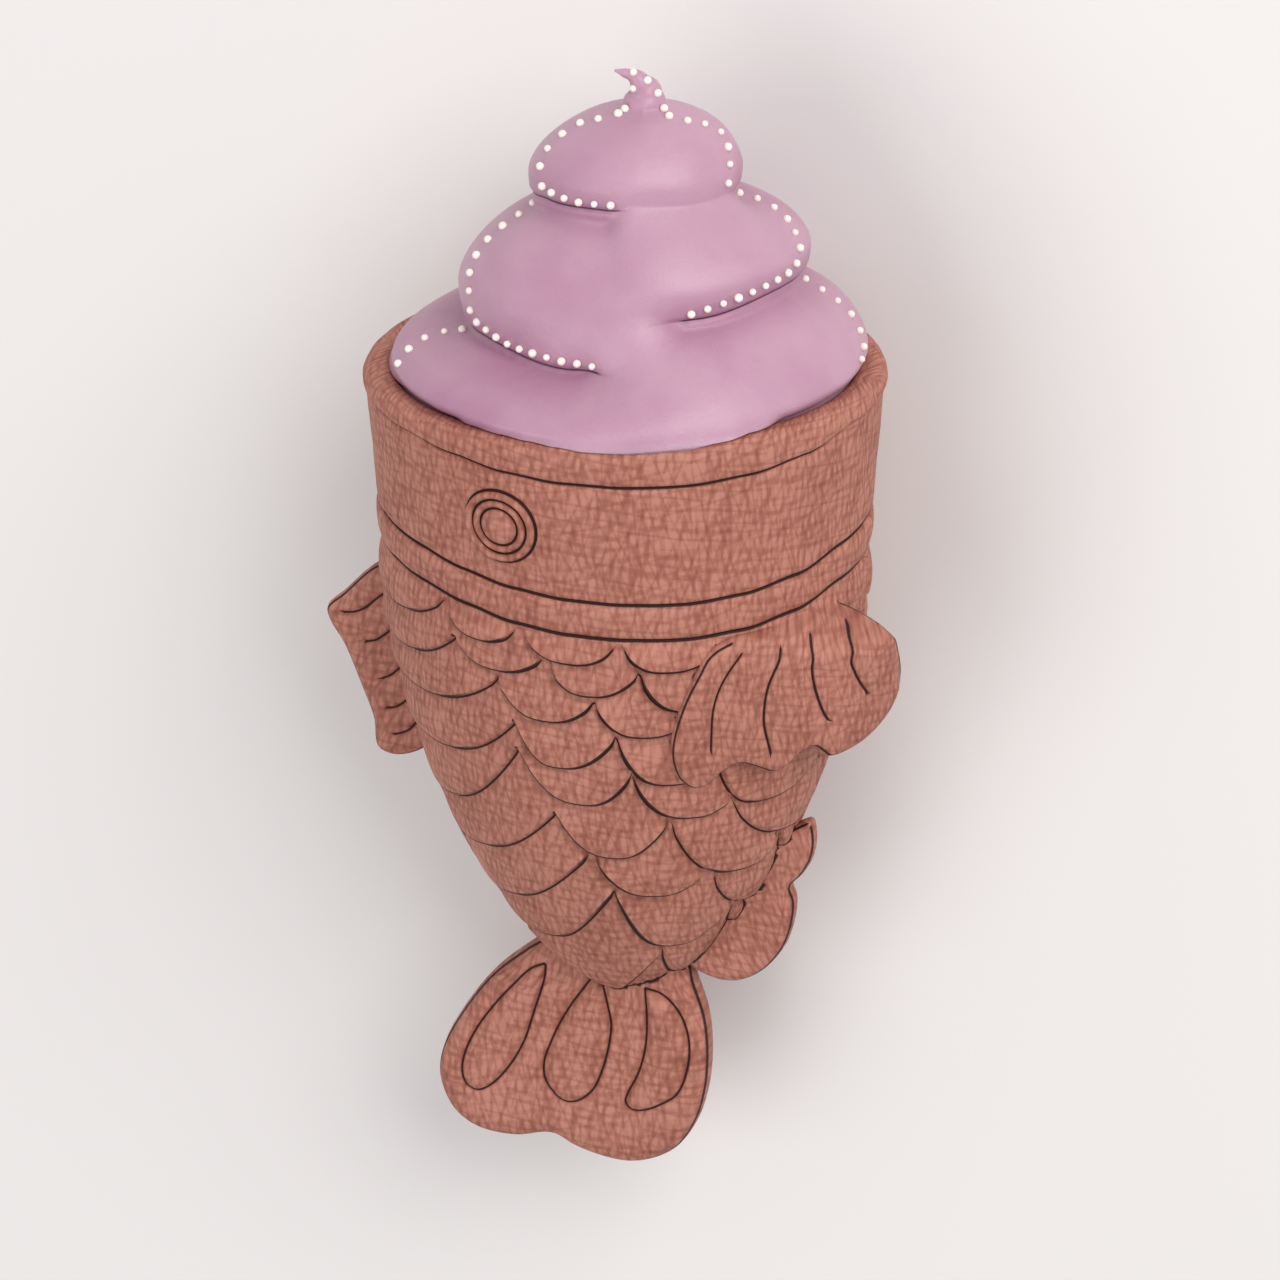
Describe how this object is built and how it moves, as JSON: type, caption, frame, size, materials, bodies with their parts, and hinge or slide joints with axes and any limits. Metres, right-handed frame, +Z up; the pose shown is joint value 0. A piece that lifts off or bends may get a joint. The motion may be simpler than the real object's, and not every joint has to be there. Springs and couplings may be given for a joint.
{
  "type": "taiyaki",
  "caption": "Open-mouthed taiyaki, a fish-shaped waffle cup with scales, fins and tail, filled with a pink soft serve swirl with sugar pearls.",
  "frame": {"origin": "on the surface it lies on, under the middle of its bounding box", "axes": "+Y along the fish from its tail to its mouth and the top of the swirl, +X to the fish's belly, +Z up to its upper flank"},
  "size_m": [0.0995, 0.1968, 0.0761],
  "materials": {
    "waffle": "baked waffle crust, dry and slightly rough, rosy brown with paler mottling and darker toasted grooves",
    "cream": "smooth soft serve, mauve pink with a soft satin sheen, set with small white sugar pearls"
  },
  "bodies": {
    "root": {"waffle_fish": "waffle", "soft_serve": "cream"}
  },
  "joints": []
}
